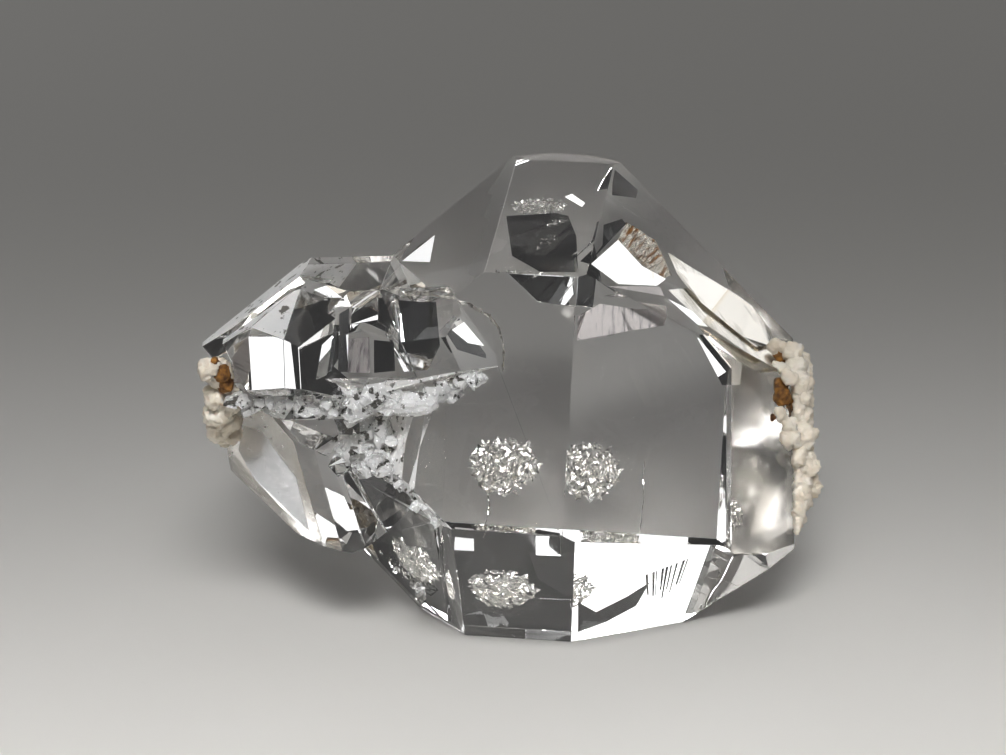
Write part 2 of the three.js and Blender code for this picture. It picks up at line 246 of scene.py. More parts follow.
def etched_quartz(name, roughness, grain, depth, tint, clearness, pitted=0.0):
    """Quartz whose surface was eaten or broken: still clear inside, frosty or sugary outside, with painted
    shade in its deepest pits when pitted is set.
    """
    material, tree, output = new_material(name)
    # Fine pits scatter the light that passes, so the surface looks pale and hides what is behind it
    pits = noise_pattern(tree, grain, 4.0)
    rough = ranged(tree, pits, {"To Min": roughness * 0.6, "To Max": roughness * 1.4})
    glass = add_node(tree, "ShaderNodeBsdfPrincipled",
                     values={"Base Color": hex_colour(tint), "IOR": QUARTZ_IOR,
                             "Transmission Weight": clearness},
                     links={"Normal": relief(tree, pits, depth * MM), "Roughness": rough})
    if pitted:
        # Painted shade: the deepest pits get a dark base colour that stands in for the shade of light that
        # enters them and does not come back. The higher pitted is, the more pits are painted dark
        painted_pit_shade = ranged(tree, noise_pattern(tree, 0.42, 3.0),
                       {"From Min": 0.68 - 0.2 * pitted, "From Max": 0.72 - 0.2 * pitted})
        colour = blended(tree, painted_pit_shade, hex_colour(tint), hex_colour("#5a5854"))
        tree.links.new(colour, glass.inputs["Base Color"])
    tree.links.new(glass.outputs["BSDF"], output.inputs["Surface"])
    quartz_inside(tree, output)
    return material


def silvery_flecks():
    """Thin healed breaks and voids inside quartz, which throw back light like crumpled foil."""
    material, tree, output = new_material("silvery_inclusion_flecks")
    # A little unevenness keeps neighbouring shards from shining alike
    rough = ranged(tree, noise_pattern(tree, 0.12, 3.0), {"To Min": 0.05, "To Max": 0.3})
    foil = add_node(tree, "ShaderNodeBsdfPrincipled",
                    values={"Base Color": (*settings("quartz_flecks").colour, 1.0), "Metallic": 0.9},
                    links={"Roughness": rough})
    tree.links.new(foil.outputs["BSDF"], output.inputs["Surface"])
    return material


def healed_break(name, roughness, across, streak_width, waviness, tint, stain, stained):
    """A gas-filled break that healed inside quartz: it mirrors like silver, and is streaked or clouded."""
    material, tree, output = new_material(name)
    # Streaks run along the break: the pattern is fine across them and eight times longer along them
    where = add_node(tree, "ShaderNodeTexCoord")
    sideways = add_node(tree, "ShaderNodeVectorMath", {"operation": "DOT_PRODUCT"},
                        links={0: where.outputs["Object"]})
    sideways.inputs[1].default_value = across
    fine = add_node(tree, "ShaderNodeVectorMath", {"operation": "SCALE"},
                    links={"Scale": sideways.outputs["Value"]})
    fine.inputs[0].default_value = across
    coarse = add_node(tree, "ShaderNodeVectorMath", {"operation": "SCALE"},
                      values={"Scale": 0.12}, links={0: where.outputs["Object"]})
    drawn = add_node(tree, "ShaderNodeVectorMath", {"operation": "ADD"},
                     links={0: fine.outputs["Vector"], 1: coarse.outputs["Vector"]})
    streaks = add_node(tree, "ShaderNodeTexNoise",
                       values={"Scale": 1 / (streak_width * MM), "Detail": 4.0, "Roughness": 0.55},
                       links={"Vector": drawn.outputs["Vector"]}).outputs["Fac"]
    tinge = ranged(tree, streaks, {"From Min": 0.62 - 0.3 * stained, "From Max": 0.74 - 0.3 * stained})
    silver = add_node(tree, "ShaderNodeBsdfPrincipled", values={"Metallic": 1.0, "Roughness": roughness},
                      links={"Base Color": blended(tree, tinge, hex_colour(tint), hex_colour(stain)),
                             "Normal": relief(tree, streaks, waviness * MM)})
    tree.links.new(silver.outputs["BSDF"], output.inputs["Surface"])
    return material


def matrix_crust():
    """Sugary dolostone matrix, broken by hand: cream grains with clay stain between them."""
    look = settings("quartz_rinds")
    material, tree, output = new_material("cream_dolostone_broken")
    patches = noise_pattern(tree, 1.1, 4.0)
    # The grains glint where they are smooth and go dull where they are rough
    grains = noise_pattern(tree, 0.16, 5.0)
    stone = add_node(tree, "ShaderNodeBsdfPrincipled",
                     values={"IOR": 1.6, "Subsurface Weight": 0.25, "Subsurface Scale": 0.3 * MM,
                             "Subsurface Radius": (1.0, 0.8, 0.6)},
                     links={"Base Color": blended(tree, patches, (*look.colour, 1.0), (*look.shade, 1.0)),
                            "Roughness": ranged(tree, grains, {"To Min": 0.35, "To Max": 0.8}),
                            "Normal": relief(tree, grains, 0.05 * MM, 0.6)})
    tree.links.new(stone.outputs["BSDF"], output.inputs["Surface"])
    return material


def brown_clay():
    """Dried limonite clay lodged in the hollows."""
    look = settings("quartz_clay")
    material, tree, output = new_material("brown_clay_dried")
    # Dull crumbs, dark where the clay stayed damp and rusty where it dried
    crumbs = noise_pattern(tree, 0.25, 6.0)
    dry = ranged(tree, crumbs, {"From Min": 0.35, "From Max": 0.65})
    clay = add_node(tree, "ShaderNodeBsdfPrincipled", values={"Roughness": 0.85},
                    links={"Base Color": blended(tree, dry, (*look.dark, 1.0), (*look.light, 1.0)),
                           "Normal": relief(tree, crumbs, 0.06 * MM, 0.7)})
    tree.links.new(clay.outputs["BSDF"], output.inputs["Surface"])
    return material


def pale_floor():
    """Pale matt board with a barely raised fibre."""
    material, tree, output = new_material("pale_matt_board")
    fibre = relief(tree, noise_pattern(tree, 1.0, 3.0), 0.02 * MM, 0.05)
    board = add_node(tree, "ShaderNodeBsdfPrincipled",
                     values={"Base Color": (*settings("quartz_stage").floor_colour, 1.0), "Roughness": 0.7},
                     links={"Normal": fibre})
    tree.links.new(board.outputs["BSDF"], output.inputs["Surface"])
    return material


# Sizes and colours that a user would change


class CrystalSettings(bpy.types.PropertyGroup):
    """Sizes and colours of the clear crystal"""
    edge_width: FloatProperty(
        name="Edge width", description="Width of the worn line along each long edge",
        default=0.025 * MM, min=0.0, subtype="DISTANCE", unit="LENGTH", precision=6)
    seam_depth: FloatProperty(
        name="Seam depth", description="How far the broken seam is roughened in and out",
        default=0.03 * MM, min=0.0, subtype="DISTANCE", unit="LENGTH", precision=6)
    swell_depth: FloatProperty(
        name="Swell depth", description="Height of the growth swells on the faces",
        default=0.004 * MM, min=0.0, subtype="DISTANCE", unit="LENGTH", precision=6)
    tint: FloatVectorProperty(
        name="Tint", description="Colour that deep quartz lets through",
        default=hex_colour("#f4efe6")[:3], subtype="COLOR", min=0.0, max=1.0)
    tint_density: FloatProperty(
        name="Tint density", description="How quickly the tint builds up with depth", default=4.0, min=0.0)


class FleckSettings(bpy.types.PropertyGroup):
    """Number, size and colour of the flecks"""
    share: FloatProperty(
        name="Share", description="How many of the flecks there are, 1 for all", default=1.0, min=0.01)
    size: FloatProperty(
        name="Fleck size", description="Length of an average shard",
        default=0.24 * MM, min=0.0, subtype="DISTANCE", unit="LENGTH", precision=6)
    colour: FloatVectorProperty(
        name="Colour", description="Colour of the flecks",
        default=hex_colour("#fbfaf7")[:3], subtype="COLOR", min=0.0, max=1.0)


class VeilSettings(bpy.types.PropertyGroup):
    """Size of the healed breaks"""
    thickness: FloatProperty(
        name="Thickness", description="Thickness of each healed break",
        default=0.03 * MM, min=0.0, subtype="DISTANCE", unit="LENGTH", precision=6)


class RindSettings(bpy.types.PropertyGroup):
    """Grain and colours of the matrix rinds"""
    grain: FloatProperty(
        name="Grain", description="Height of the sugary grains",
        default=0.12 * MM, min=0.0, subtype="DISTANCE", unit="LENGTH", precision=6)
    colour: FloatVectorProperty(
        name="Colour", description="Colour of the clean matrix",
        default=hex_colour("#f0ebe2")[:3], subtype="COLOR", min=0.0, max=1.0)
    shade: FloatVectorProperty(
        name="Shade", description="Colour of the stained matrix",
        default=hex_colour("#c9b79a")[:3], subtype="COLOR", min=0.0, max=1.0)


class ClaySettings(bpy.types.PropertyGroup):
    """Colours of the clay"""
    dark: FloatVectorProperty(
        name="Dark", description="Colour of the damp clay",
        default=hex_colour("#4a2a10")[:3], subtype="COLOR", min=0.0, max=1.0)
    light: FloatVectorProperty(
        name="Light", description="Colour of the dry clay",
        default=hex_colour("#9a6a2c")[:3], subtype="COLOR", min=0.0, max=1.0)


class StageSettings(bpy.types.PropertyGroup):
    """Floor, camera and lights"""
    floor_colour: FloatVectorProperty(
        name="Floor", description="Colour of the floor",
        default=hex_colour("#bcbab6")[:3], subtype="COLOR", min=0.0, max=1.0)
    elevation: FloatProperty(
        name="Elevation", description="How far the camera looks down",
        default=math.radians(27.5), subtype="ANGLE", unit="ROTATION")
    distance: FloatProperty(
        name="Distance", description="From the camera to the point it looks at",
        default=201.0 * MM, subtype="DISTANCE", unit="LENGTH")
    lens: FloatProperty(
        name="Lens", description="Focal length of the camera", default=179.8, subtype="DISTANCE_CAMERA",
        unit="CAMERA")
    ambient: FloatProperty(
        name="Ambient", description="Brightness of the dim room all round", default=0.03, min=0.0)
    power: FloatProperty(
        name="Light", description="Strength of all the lights together", default=1.0, min=0.0)


# Crystal

# The seam is rough where it lies near this line, from the left tip to the middle of the stone, and in
# a field below it that runs down to the right
SEAM = [at(-10.2, -6.55, 11.3), at(-5.1, -7.05, 11.5), at(-1.2, -6.75, 11.9)]
SEAM_FIELD = [at(-6.3, -5.4, 9.6), at(-4.6, -6.6, 9.2), at(-2.4, -8.6, 7.0)]
# How near in millimetres, and how small in square millimetres, a face of the broken seam is
SEAM_REACH = 1.3
LARGEST_BREAK = 0.35
# Neighbouring triangles that differ by less than this lie in one flat face
FLAT_ANGLE = math.radians(0.4)
# The edges that are worn are at least this long in millimetres, and their two faces are at least this
# large in square millimetres and meet at this angle or more
WORN_LENGTH = 0.9
WORN_AREA = 0.25
WORN_ANGLE = math.radians(12)
# Faces with a surface of their own: slot, the way they face, and how far right they start and end
FROSTED_FACES = [
    (2, Vector((-0.703, -0.703, -0.105)), -11.5, -6.5),
    (3, Vector((0.53, -0.75, 0.39)), 8.8, 12.0),
    (3, Vector((0.61, -0.08, 0.79)), 8.5, 12.0),
    (1, Vector((1.0, -0.05, 0.03)), 9.5, 12.0),
    (4, Vector((-0.60, 0.15, 0.79)), -12.0, -6.0),
    (4, Vector((-0.25, -0.45, 0.86)), -12.0, -6.0),
]
# The cosine above which a face counts as facing one of these ways
SAME_WAY = 0.995


def distance_to(point, line):
    """From a point to the nearest place on a line of corners."""
    nearest = math.inf
    for start, end in zip(line, line[1:]):
        along = end - start
        t = max(0.0, min(1.0, (point - start).dot(along) / along.length_squared))
        nearest = min(nearest, (point - start - along * t).length)
    return nearest


def broken(face):
    """True for the seam's small faces."""
    return face.area < LARGEST_BREAK and min(
        distance_to(face.center, SEAM), distance_to(face.center, SEAM_FIELD)) < SEAM_REACH


def wear_edges(piece, width):
    """Bevels the long, clean edges between large faces."""
    mesh = piece.data
    sides = {}
    for face in mesh.polygons:
        for key in face.edge_keys:
            sides.setdefault(key, []).append(face)

    def clean(edge):
        pair = sides.get(tuple(sorted(edge.vertices)), [])
        if len(pair) != 2 or min(face.area for face in pair) < WORN_AREA:
            return False
        start, end = (mesh.vertices[v].co for v in edge.vertices)
        return (start - end).length > WORN_LENGTH and pair[0].normal.angle(pair[1].normal) > WORN_ANGLE

    if not choose(piece, "EDGE", clean):
        raise RuntimeError("no long edges were found to wear")
    bpy.ops.mesh.bevel(offset=width, offset_type="WIDTH", segments=1, affect="EDGES",
                       clamp_overlap=False)
    bpy.ops.object.mode_set(mode="OBJECT")


def rough_seam(piece, depth):
    """Cuts the seam's small faces finer and throws their corners in and out, like a broken surface."""
    if not choose(piece, "FACE", broken):
        raise RuntimeError("no faces were found along the seam")
    bpy.ops.mesh.subdivide(number_cuts=1)
    bpy.ops.object.mode_set(mode="OBJECT")
    chance = random.Random(5)
    for corner in piece.data.vertices:
        if corner.select:
            corner.co += jolt(chance, depth)


def slots_of_faces(piece):
    """The material slot of each face: the seam's and the frosted faces' own, and 0 for clear ones."""
    slots = []
    for face in piece.data.polygons:
        x = (face.center - ORIGIN).x
        own = [slot for slot, way, least, most in FROSTED_FACES
               if face.normal.dot(way.normalized()) > SAME_WAY and least < x < most]
        slots.append(1 if broken(face) else own[0] if own else 0)
    return slots


class QUARTZ_OT_grow_crystal(bpy.types.Operator):
    """Makes the intergrown clear crystal with worn edges and a broken seam"""
    bl_idname = "quartz.grow_crystal"
    bl_label = "Clear Crystal"

    def execute(self, context):
        look = context.scene.quartz_crystal
        piece = copy_of_node(QUARTZ_NODE, CRYSTAL)
        shape(piece, bpy.ops.mesh.dissolve_limited, angle_limit=FLAT_ANGLE)
        wear_edges(piece, look.edge_width / MM)
        shape(piece, bpy.ops.mesh.quads_convert_to_tris)
        rough_seam(piece, look.seam_depth / MM)
        # One for each slot: grown faces, the seam and the broken right end, the broad lower left face,
        # two silky faces at the right, and two pitted slopes at the upper left
        materials = [
            clear_quartz(),
            # The seam and the two pitted slopes get painted shade: the last number sets how many of their
            # deepest pits are coloured dark
            etched_quartz("quartz_broken_seam", 0.25, 0.15, 0.04, "#ffffff", 0.45, 0.52),
            etched_quartz("quartz_satin_face", 0.24, 0.30, 0.005, "#ffffff", 0.88),
            etched_quartz("quartz_silky_face", 0.16, 0.60, 0.006, "#fdfcfa", 0.97),
            etched_quartz("quartz_pitted_face", 0.4, 0.22, 0.02, "#ffffff", 0.42, 0.35),
        ]
        slots = slots_of_faces(piece)
        finish_piece(piece, materials, "clear_quartz", QUARTZ_NODE)
        for face, slot in zip(piece.data.polygons, slots):
            face.material_index = slot
        return {"FINISHED"}


# Flecks

# Most shards of a cluster lie along one healed plane, so that many of them flash together: the way such
# planes face deep in the stone, and the way they face under the top
DEEP_FACING = Vector((0.0, -0.82, 0.57))
TOP_FACING = Vector((-0.11, -0.03, 0.99))
# How far in radians a shard leans from that way, as a usual difference
FLECK_TILT = 0.3
# A shard's distance from the middle is this root of a random number: 3 would fill the cluster evenly,
# and less thins it out towards its rim
FLECK_CROWDING = 2.2
# Each cluster of flecks: its centre, its reach along each axis, how many shards, how large they are
# beside an average one, and the way they face
CLUSTERS = [
    (at(0.57, 4.1, 2.6), Vector((1.4, 0.9, 1.3)), 460, 1.1, DEEP_FACING),
    (at(1.45, 2.3, 14.9), Vector((1.2, 0.85, 0.12)), 220, 0.6, TOP_FACING),
    (at(9.08, -4.72, 5.3), Vector((0.3, 0.2, 0.7)), 60, 0.75, DEEP_FACING),
    (at(2.3, 0.55, 15.5), Vector((0.35, 0.3, 0.12)), 14, 0.5, TOP_FACING),
    (at(1.9, -0.9, 15.2), Vector((0.2, 0.5, 0.12)), 12, 0.5, TOP_FACING),
]


def shard(chance):
    """One thin, bent, angular shard."""
    bpy.ops.mesh.primitive_ico_sphere_add(subdivisions=1, radius=0.5)
    piece = bpy.context.object
    for corner in piece.data.vertices:
        corner.co *= 0.7 + 0.6 * chance.random()
        corner.co.y = 0.5 * corner.co.y + 0.5 * corner.co.x ** 2
        corner.co.z *= 0.3
    return piece


def scattered(name, model, places):
    """Copies a modelled shape to each place, and joins the copies into one piece."""
    copies = []
    for place, turn, size in places:
        copy = bpy.data.objects.new(name, model.data.copy())
        bpy.context.collection.objects.link(copy)
        copy.data.transform(Matrix.LocRotScale(place, turn, Vector((size, size, size))))
        copies.append(copy)
    bpy.data.objects.remove(model)
    return joined(name, copies)


class QUARTZ_OT_scatter_flecks(bpy.types.Operator):
    """Scatters the silvery flecks inside the crystal"""
    bl_idname = "quartz.scatter_flecks"
    bl_label = "Silvery Flecks"

    def execute(self, context):
        look = context.scene.quartz_flecks
        chance = random.Random(17)
        places = []
        for centre, far, count, scale, facing in CLUSTERS:
            for _ in range(round(count * look.share)):
                way = Vector([chance.gauss(0, 1) for _ in range(3)]).normalized()
                reach = chance.random() ** (1 / FLECK_CROWDING)
                place = centre + Vector([a * b * reach for a, b in zip(way, far)])
                lean = [chance.gauss(0, FLECK_TILT) for _ in range(2)]
                spin = chance.uniform(0, math.tau)
                turn = facing.to_track_quat("Z", "Y").to_matrix() @ Euler((*lean, spin)).to_matrix()
                places.append((place, turn, look.size / MM * scale * chance.uniform(0.6, 1.6)))
        piece = scattered("inner_flecks", shard(chance), places)
        finish_piece(piece, [silvery_flecks()], "clear_quartz")
        return {"FINISHED"}


# Healed breaks

# Each kind of healed break: roughness, the way across its streaks, their width and height in
# millimetres, its colour, the colour of its stain, and how much of it is stained
BREAK_KINDS = {
    "silvery": (0.05, (1, 0, 0), 0.5, 0.002, "#ffffff", "#e8e4dc", 0.0),
    "iron_stained": (0.15, (-0.81, 0.32, 0.48), 0.16, 0.08, "#fffaf0", "#a8763a", 0.45),
    "feathered": (0.25, (0.81, 0.47, -0.35), 0.22, 0.008, "#f6f0ee", "#bdb8b8", 0.2),
    "pearly": (0.14, (0.3, 0.3, -0.3), 0.35, 0.012, "#fbf8f2", "#d0ccc2", 0.2),
}
# Each healed break is a thin flat sheet inside the quartz, turned so that it mirrors a light or a dark
# part of the room: its kind, how ragged its rim is in millimetres, and its corners
VEILS = {
    "break_white_patch": ("silvery", 0.0, [
        at(3.00, -2.63, 14.83), at(4.31, 0.28, 14.69), at(5.31, -0.53, 14.02), at(6.36, -0.40, 13.50),
        at(5.91, -1.31, 13.57), at(4.14, -2.88, 14.19)]),
    "break_golden_streaks": ("iron_stained", 0.04, [
        at(4.26, 0.36, 14.60), at(4.70, 2.04, 14.68), at(5.98, 2.03, 14.02), at(6.62, 0.23, 13.36),
        at(6.04, -0.67, 13.50), at(5.19, -0.26, 14.01)]),
    "break_feathered": ("feathered", 0.012, [
        at(2.78, -4.88, 14.22), at(3.61, -4.07, 14.33), at(5.09, -3.22, 13.69), at(6.29, -2.43, 13.31),
        at(6.12, -2.93, 12.80), at(4.72, -3.95, 13.10), at(3.64, -4.81, 13.23), at(2.76, -5.42, 13.45)]),
    "break_feathered_top": ("feathered", 0.0, [
        at(3.71, -3.58, 14.43), at(4.09, -3.18, 14.29), at(6.06, -1.26, 13.52), at(6.21, -1.74, 13.37)]),
    "break_right_slope_low": ("pearly", 0.0, [
        at(5.85, -0.01, 12.08), at(6.91, 1.07, 11.80), at(9.19, 1.52, 10.80), at(11.10, 0.54, 9.69),
        at(11.10, -0.38, 9.49), at(9.94, -1.21, 9.87), at(7.22, -0.78, 11.27)]),
    "break_top_corner": ("silvery", 0.0, [
        at(4.02, 4.74, 14.90), at(4.36, 5.50, 15.41), at(5.30, 5.17, 14.66), at(5.06, 4.69, 14.35),
        at(3.80, 4.09, 14.43)]),
    "break_right_slope": ("pearly", 0.02, [
        at(6.19, 2.35, 12.89), at(9.85, 2.41, 11.02), at(10.74, 1.26, 10.34), at(10.66, 0.31, 10.21),
        at(9.88, -0.56, 10.45), at(7.63, 0.09, 11.73), at(6.55, 1.11, 12.48)]),
    "break_bright_strip": ("silvery", 0.0, [
        at(7.45, -2.47, 12.04), at(8.51, -3.04, 10.25), at(9.32, -2.40, 9.92), at(9.35, -1.75, 10.51),
        at(8.54, -1.85, 11.36), at(8.05, -1.94, 11.85)]),
    "break_bright_strip_top": ("silvery", 0.0, [
        at(6.29, -1.61, 13.08), at(7.56, -2.15, 12.32), at(8.02, -1.85, 12.14), at(7.35, -1.41, 12.57)]),
    "break_dark_window": ("silvery", 0.0, [
        at(0.12, 0.84, 15.68), at(2.10, 1.37, 15.33), at(2.58, 1.24, 15.13), at(2.88, -0.09, 14.46),
        at(2.93, -2.51, 13.37), at(1.44, -2.74, 13.71), at(0.35, -1.85, 14.43)]),
    "break_dark_corner": ("silvery", 0.0, [
        at(3.72, 0.69, 15.13), at(4.68, 1.78, 15.12), at(4.84, 1.61, 14.98), at(2.76, -2.16, 14.44),
        at(3.50, -0.63, 14.70)]),
    "break_left_top": ("silvery", 0.0, [
        at(-7.22, -5.24, 15.45), at(-6.72, -5.04, 15.47),
        at(-6.07, -5.62, 15.23), at(-6.57, -5.62, 15.27)]),
    "break_left_column": ("silvery", 0.0, [
        at(-6.28, -6.39, 15.07), at(-5.90, -6.29, 15.27),
        at(-5.94, -7.54, 13.16), at(-6.32, -7.53, 13.15)]),
    "break_left_column_side": ("silvery", 0.0, [
        at(-6.47, -5.78, 14.22), at(-6.39, -5.93, 14.04), at(-6.58, -6.94, 12.89), at(-7.42, -7.22, 12.68),
        at(-7.26, -6.31, 13.72)]),
    "break_left_rim": ("silvery", 0.0, [
        at(-10.04, -5.09, 13.57), at(-9.20, -4.32, 14.43), at(-7.94, -4.17, 14.95), at(-8.93, -4.58, 14.31),
        at(-9.95, -4.99, 13.67)]),
    "break_left_curved": ("silvery", 0.03, [
        at(-5.80, -5.86, 15.04), at(-5.04, -5.84, 15.12), at(-4.34, -6.24, 14.47), at(-4.42, -6.38, 14.24),
        at(-5.34, -6.14, 14.59), at(-5.88, -6.29, 14.32)]),
    "break_left_dark_slope": ("silvery", 0.0, [
        at(-4.34, -5.04, 15.01), at(-2.58, -4.96, 14.82), at(-2.43, -6.34, 13.67), at(-2.88, -7.17, 13.06),
        at(-3.80, -7.34, 13.06), at(-4.52, -6.21, 14.09)]),
    "break_left_dark_corner": ("silvery", 0.0, [
        at(-4.81, -5.70, 15.40), at(-4.47, -5.52, 15.28),
        at(-4.31, -6.25, 14.30), at(-4.80, -6.32, 14.68)]),
    "break_left_block": ("feathered", 0.0, [
        at(-5.93, -6.89, 14.25), at(-5.12, -6.98, 14.38),
        at(-5.08, -7.63, 13.17), at(-5.94, -7.50, 13.10)]),
    "break_right_block": ("silvery", 0.0, [
        at(-4.95, -6.98, 14.25), at(-4.18, -6.87, 14.11),
        at(-4.14, -7.41, 13.14), at(-4.95, -7.60, 13.15)]),
    "break_tip": ("silvery", 0.0, [
        at(-2.00, -6.27, 14.31), at(-1.54, -5.71, 14.36),
        at(-0.77, -5.82, 13.38), at(-1.39, -6.19, 13.70)]),
    "break_junction": ("silvery", 0.0, [
        at(-3.89, 3.89, 12.02), at(-3.24, 4.16, 12.72), at(-2.65, 4.07, 13.24), at(-2.42, 1.90, 12.54)]),
    "break_tip_shade": ("silvery", 0.0, [
        at(-2.43, -5.78, 13.78), at(-1.87, -5.28, 14.26), at(-0.84, -5.56, 12.84), at(-0.84, -5.64, 12.68),
        at(-2.04, -5.92, 13.17)]),
    "break_hollow": ("silvery", 0.0, [
        at(-3.85, -5.54, 6.81), at(-2.92, -7.14, 7.05), at(-2.45, -7.59, 6.50), at(-2.59, -6.67, 5.13),
        at(-3.57, -4.61, 4.15)]),
    "break_pale_face": ("silvery", 0.0, [
        at(-10.39, -2.28, 7.03), at(-9.88, -2.11, 8.19), at(-9.00, -2.50, 8.23), at(-7.63, -3.62, 6.77),
        at(-7.36, -4.48, 4.63), at(-8.51, -3.78, 5.16), at(-9.80, -2.88, 6.06)]),
    "break_block_left": ("silvery", 0.0, [
        at(-1.81, -7.96, 6.59), at(-1.08, -7.99, 6.53), at(-1.11, -8.07, 5.77), at(-1.89, -8.04, 5.76)]),
    "break_block_right": ("silvery", 0.0, [
        at(1.30, -8.88, 7.00), at(2.21, -9.38, 7.11), at(2.25, -8.74, 5.81), at(1.31, -8.24, 5.75)]),
    "break_foot_wedge": ("silvery", 0.0, [
        at(2.74, -5.51, 2.59), at(3.57, -5.43, 1.73), at(4.80, -5.21, 2.44), at(5.63, -5.05, 3.13),
        at(5.22, -5.19, 1.69), at(4.07, -5.40, 0.95), at(2.95, -5.59, 0.59)]),
    "break_bright_lens": ("silvery", 0.0, [
        at(2.47, 2.65, 15.60), at(2.75, 2.90, 15.64), at(3.26, 2.04, 15.67), at(3.14, 1.70, 15.64)]),
}


def film(name, corners, thickness, ragged, chance):
    """A thin flat sheet with these corners; a ragged one is cut finer and strays by up to that much."""
    bpy.ops.mesh.primitive_circle_add(vertices=len(corners), fill_type="NGON")
    piece = bpy.context.object
    piece.name = piece.data.name = name
    for corner, place in zip(piece.data.vertices, corners):
        corner.co = place
    if ragged:
        shape(piece, bpy.ops.mesh.subdivide, number_cuts=7)
        for corner in piece.data.vertices:
            corner.co += jolt(chance, ragged)
    modify(piece, "SOLIDIFY", thickness=thickness, offset=0.0)
    shape(piece, bpy.ops.mesh.normals_make_consistent, inside=False)
    return piece


# Contact line around the second tip, where the two crystals grew into one another
SUTURE = [at(-3.98, -4.46, 14.78), at(-3.2, -4.31, 14.88), at(-2.23, -4.57, 14.83),
          at(-1.26, -4.52, 14.59), at(-0.49, -4.83, 14.23), at(-0.14, -5.11, 13.81),
          at(0.05, -5.46, 13.25), at(0.01, -5.9, 12.48)]
SUTURE_WIDTH = 0.13
# Hairline breaks in the front of the crystal: their width, then both ends and how far they wander
HAIRLINE_WIDTH = 0.05
HAIRLINES = {
    "hairline_right": (at(5.33, -5.64, 8.31), at(5.16, -7.09, 5.8), 0.05),
    "hairline_middle": (at(-0.46, -7.71, 7.87), at(-0.66, -8.38, 6.69), 0.12),
}
# Fine feathers in the lower right: how many, the line on which they start, the line on which they end
FEATHERS = 9
FEATHER_TOPS = (at(5.52, -6.28, 3.73), at(7.19, -5.23, 4.30))
FEATHER_FEET = (at(5.74, -5.14, 1.42), at(6.76, -4.44, 1.62))


def ribbon(name, path, width, thickness, chance):
    """A narrow ragged band along a path, extruded corner by corner."""
    bpy.ops.mesh.primitive_circle_add(vertices=3, radius=0.01)
    piece = bpy.context.object
    piece.name = piece.data.name = name
    choose(piece, "VERT", lambda vertex: vertex.index > 0)
    bpy.ops.mesh.delete(type="VERT")
    bpy.ops.object.mode_set(mode="OBJECT")
    piece.data.vertices[0].co = path[0]
    for before, after in zip(path, path[1:]):
        choose(piece, "VERT", lambda vertex: vertex.index == len(piece.data.vertices) - 1)
        bpy.ops.mesh.extrude_region_move(TRANSFORM_OT_translate={"value": after - before})
        bpy.ops.object.mode_set(mode="OBJECT")
    shape(piece, bpy.ops.mesh.subdivide, number_cuts=5)
    shape(piece, bpy.ops.mesh.extrude_region_move, TRANSFORM_OT_translate={"value": (0, 0, -width)})
    for corner in piece.data.vertices:
        corner.co += jolt(chance, 0.3 * width)
    modify(piece, "SOLIDIFY", thickness=thickness, offset=0.0)
    shape(piece, bpy.ops.mesh.normals_make_consistent, inside=False)
    return piece


def hairline(name, start, end, wander, thickness, chance):
    """A hairline break that wanders sideways on its way from start to end."""
    path = [start.lerp(end, i / 4) for i in range(5)]
    for corner in path:
        corner.x += chance.uniform(-wander, wander)
    return ribbon(name, path, HAIRLINE_WIDTH, thickness, chance)


def feather(number, thickness, chance):
    """One thin sliver that hangs from the line of tops and narrows towards the line of feet."""
    start, width = number / FEATHERS + chance.uniform(0, 0.06), chance.uniform(0.02, 0.07)
    left, right = (FEATHER_TOPS[0].lerp(FEATHER_TOPS[1], start + step) for step in (0, width))
    foot_left, foot_right = (FEATHER_FEET[0].lerp(FEATHER_FEET[1], start + step)
                             for step in (0, 0.5 * width))
    length = chance.uniform(0.55, 1.0)
    corners = [left, right, right.lerp(foot_right, length), left.lerp(foot_left, length)]
    return film(f"feather_{number + 1}", corners, thickness, 0.0, chance)


class QUARTZ_OT_lay_veils(bpy.types.Operator):
    """Lays the healed breaks, the contact line, the hairlines and the feathers inside the crystal"""
    bl_idname = "quartz.lay_veils"
    bl_label = "Veils"

    def execute(self, context):
        thickness = context.scene.quartz_veils.thickness / MM
        looks = {}
        for kind, values in BREAK_KINDS.items():
            looks[kind] = healed_break(f"healed_break_{kind}", *values)
        chance = random.Random(29)
        for name, (kind, ragged, corners) in VEILS.items():
            finish_piece(film(name, corners, thickness, ragged, chance), [looks[kind]], "clear_quartz")
        line = ribbon("contact_line", SUTURE, SUTURE_WIDTH, thickness, chance)
        finish_piece(line, [looks["pearly"]], "clear_quartz")
        for name, (start, end, wander) in HAIRLINES.items():
            line = hairline(name, start, end, wander, thickness, chance)
            finish_piece(line, [looks["pearly"]], "clear_quartz")
        for number in range(FEATHERS):
            finish_piece(feather(number, thickness, chance), [looks["silvery"]], "clear_quartz")
        return {"FINISHED"}


# Rinds

# In millimetres: the spacing of a rind's new mesh, how far it swells to close the gap to the crystal,
# and the height of its knobs
RIND_CELL = 0.055
RIND_SWELL = 0.10
RIND_KNOBS = 0.40


def lumpy(piece, size, height):
    """Pushes a surface in and out by a solid noise of this size, all in millimetres."""
    texture = bpy.data.textures.new(f"lumps_{size}", "CLOUDS")
    texture.noise_scale = size
    modify(piece, "DISPLACE", texture=texture, texture_coords="LOCAL", strength=height, mid_level=0.5)


